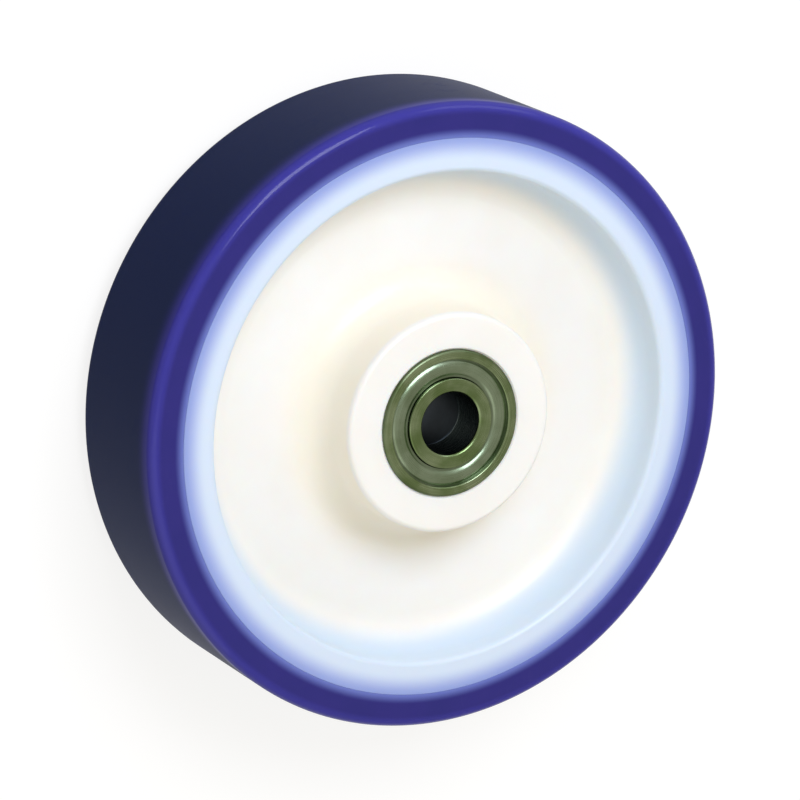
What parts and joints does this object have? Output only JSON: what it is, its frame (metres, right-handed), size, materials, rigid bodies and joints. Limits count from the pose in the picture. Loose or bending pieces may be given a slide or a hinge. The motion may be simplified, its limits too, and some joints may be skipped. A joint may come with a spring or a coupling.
{
  "type": "polyurethane trolley wheel",
  "caption": "Solid-web plastic trolley wheel with a blue polyurethane tyre and shielded ball bearings in a raised hub, turning on a plain axle.",
  "frame": {"origin": "middle of the wheel, on its spin axis, halfway between the outer faces of its two bearings", "axes": "+Z along the spin axis, towards the side that the picture shows; the wheel is round, so X and Y are alike, and it lies on its other hub end"},
  "size_m": [0.2, 0.2, 0.06],
  "materials": {
    "tyre_polyurethane": "smooth moulded polyurethane, satin to semi-gloss",
    "core_nylon": "natural white moulded nylon, soft gloss",
    "spacer_steel": "cut steel tube, phosphated dark grey",
    "ring_steel": "ground bearing steel, lightly oiled",
    "shield_steel": "pressed steel sheet, bright",
    "cage_steel": "pressed steel strip, dull",
    "rivet_steel": "soft steel, headed over",
    "ball_steel": "polished"
  },
  "bodies": {
    "inner_set": {"spacer_tube": "spacer_steel", "front_inner_ring": "ring_steel", "rear_inner_ring": "ring_steel"},
    "wheel": {"tyre": "tyre_polyurethane", "wheel_core": "core_nylon", "front_outer_ring": "ring_steel", "front_outer_shield": "shield_steel", "front_inner_shield": "shield_steel", "rear_outer_ring": "ring_steel", "rear_outer_shield": "shield_steel", "rear_inner_shield": "shield_steel"},
    "front_cage": {"front_cage_outer_half": "cage_steel", "front_cage_inner_half": "cage_steel", "front_cage_rivets": "rivet_steel"},
    "front_ball_1": {"front_ball_1": "ball_steel"},
    "front_ball_2": {"front_ball_2": "ball_steel"},
    "front_ball_3": {"front_ball_3": "ball_steel"},
    "front_ball_4": {"front_ball_4": "ball_steel"},
    "front_ball_5": {"front_ball_5": "ball_steel"},
    "front_ball_6": {"front_ball_6": "ball_steel"},
    "front_ball_7": {"front_ball_7": "ball_steel"},
    "front_ball_8": {"front_ball_8": "ball_steel"},
    "rear_cage": {"rear_cage_outer_half": "cage_steel", "rear_cage_inner_half": "cage_steel", "rear_cage_rivets": "rivet_steel"},
    "rear_ball_1": {"rear_ball_1": "ball_steel"},
    "rear_ball_2": {"rear_ball_2": "ball_steel"},
    "rear_ball_3": {"rear_ball_3": "ball_steel"},
    "rear_ball_4": {"rear_ball_4": "ball_steel"},
    "rear_ball_5": {"rear_ball_5": "ball_steel"},
    "rear_ball_6": {"rear_ball_6": "ball_steel"},
    "rear_ball_7": {"rear_ball_7": "ball_steel"},
    "rear_ball_8": {"rear_ball_8": "ball_steel"}
  },
  "joints": [
    {"name": "wheel_spin", "type": "hinge", "parent": "inner_set", "child": "wheel", "pos_m": [0, 0, 0], "axis": [0, 0, 1], "continuous": true},
    {"name": "front_cage_orbit", "type": "hinge", "parent": "inner_set", "child": "front_cage", "pos_m": [0, 0, 0.023], "axis": [0, 0, 1], "continuous": true},
    {"name": "front_ball_1_spin", "type": "hinge", "parent": "front_cage", "child": "front_ball_1", "pos_m": [0.01675, 0, 0.023], "axis": [0, 0, 1], "continuous": true},
    {"name": "front_ball_2_spin", "type": "hinge", "parent": "front_cage", "child": "front_ball_2", "pos_m": [0.01184, 0.01184, 0.023], "axis": [0, 0, 1], "continuous": true},
    {"name": "front_ball_3_spin", "type": "hinge", "parent": "front_cage", "child": "front_ball_3", "pos_m": [0, 0.01675, 0.023], "axis": [0, 0, 1], "continuous": true},
    {"name": "front_ball_4_spin", "type": "hinge", "parent": "front_cage", "child": "front_ball_4", "pos_m": [-0.01184, 0.01184, 0.023], "axis": [0, 0, 1], "continuous": true},
    {"name": "front_ball_5_spin", "type": "hinge", "parent": "front_cage", "child": "front_ball_5", "pos_m": [-0.01675, 0, 0.023], "axis": [0, 0, 1], "continuous": true},
    {"name": "front_ball_6_spin", "type": "hinge", "parent": "front_cage", "child": "front_ball_6", "pos_m": [-0.01184, -0.01184, 0.023], "axis": [0, 0, 1], "continuous": true},
    {"name": "front_ball_7_spin", "type": "hinge", "parent": "front_cage", "child": "front_ball_7", "pos_m": [0, -0.01675, 0.023], "axis": [0, 0, 1], "continuous": true},
    {"name": "front_ball_8_spin", "type": "hinge", "parent": "front_cage", "child": "front_ball_8", "pos_m": [0.01184, -0.01184, 0.023], "axis": [0, 0, 1], "continuous": true},
    {"name": "rear_cage_orbit", "type": "hinge", "parent": "inner_set", "child": "rear_cage", "pos_m": [0, 0, -0.023], "axis": [0, 0, 1], "continuous": true},
    {"name": "rear_ball_1_spin", "type": "hinge", "parent": "rear_cage", "child": "rear_ball_1", "pos_m": [0.01675, 0, -0.023], "axis": [0, 0, 1], "continuous": true},
    {"name": "rear_ball_2_spin", "type": "hinge", "parent": "rear_cage", "child": "rear_ball_2", "pos_m": [0.01184, 0.01184, -0.023], "axis": [0, 0, 1], "continuous": true},
    {"name": "rear_ball_3_spin", "type": "hinge", "parent": "rear_cage", "child": "rear_ball_3", "pos_m": [0, 0.01675, -0.023], "axis": [0, 0, 1], "continuous": true},
    {"name": "rear_ball_4_spin", "type": "hinge", "parent": "rear_cage", "child": "rear_ball_4", "pos_m": [-0.01184, 0.01184, -0.023], "axis": [0, 0, 1], "continuous": true},
    {"name": "rear_ball_5_spin", "type": "hinge", "parent": "rear_cage", "child": "rear_ball_5", "pos_m": [-0.01675, 0, -0.023], "axis": [0, 0, 1], "continuous": true},
    {"name": "rear_ball_6_spin", "type": "hinge", "parent": "rear_cage", "child": "rear_ball_6", "pos_m": [-0.01184, -0.01184, -0.023], "axis": [0, 0, 1], "continuous": true},
    {"name": "rear_ball_7_spin", "type": "hinge", "parent": "rear_cage", "child": "rear_ball_7", "pos_m": [0, -0.01675, -0.023], "axis": [0, 0, 1], "continuous": true},
    {"name": "rear_ball_8_spin", "type": "hinge", "parent": "rear_cage", "child": "rear_ball_8", "pos_m": [0.01184, -0.01184, -0.023], "axis": [0, 0, 1], "continuous": true}
  ],
  "couplings": [
    {"joint": "front_cage_orbit", "follows": "wheel_spin", "ratio": 0.61848},
    {"joint": "front_ball_1_spin", "follows": "wheel_spin", "ratio": 1.9916},
    {"joint": "front_ball_2_spin", "follows": "wheel_spin", "ratio": 1.9916},
    {"joint": "front_ball_3_spin", "follows": "wheel_spin", "ratio": 1.9916},
    {"joint": "front_ball_4_spin", "follows": "wheel_spin", "ratio": 1.9916},
    {"joint": "front_ball_5_spin", "follows": "wheel_spin", "ratio": 1.9916},
    {"joint": "front_ball_6_spin", "follows": "wheel_spin", "ratio": 1.9916},
    {"joint": "front_ball_7_spin", "follows": "wheel_spin", "ratio": 1.9916},
    {"joint": "front_ball_8_spin", "follows": "wheel_spin", "ratio": 1.9916},
    {"joint": "rear_cage_orbit", "follows": "wheel_spin", "ratio": 0.61848},
    {"joint": "rear_ball_1_spin", "follows": "wheel_spin", "ratio": 1.9916},
    {"joint": "rear_ball_2_spin", "follows": "wheel_spin", "ratio": 1.9916},
    {"joint": "rear_ball_3_spin", "follows": "wheel_spin", "ratio": 1.9916},
    {"joint": "rear_ball_4_spin", "follows": "wheel_spin", "ratio": 1.9916},
    {"joint": "rear_ball_5_spin", "follows": "wheel_spin", "ratio": 1.9916},
    {"joint": "rear_ball_6_spin", "follows": "wheel_spin", "ratio": 1.9916},
    {"joint": "rear_ball_7_spin", "follows": "wheel_spin", "ratio": 1.9916},
    {"joint": "rear_ball_8_spin", "follows": "wheel_spin", "ratio": 1.9916}
  ]
}
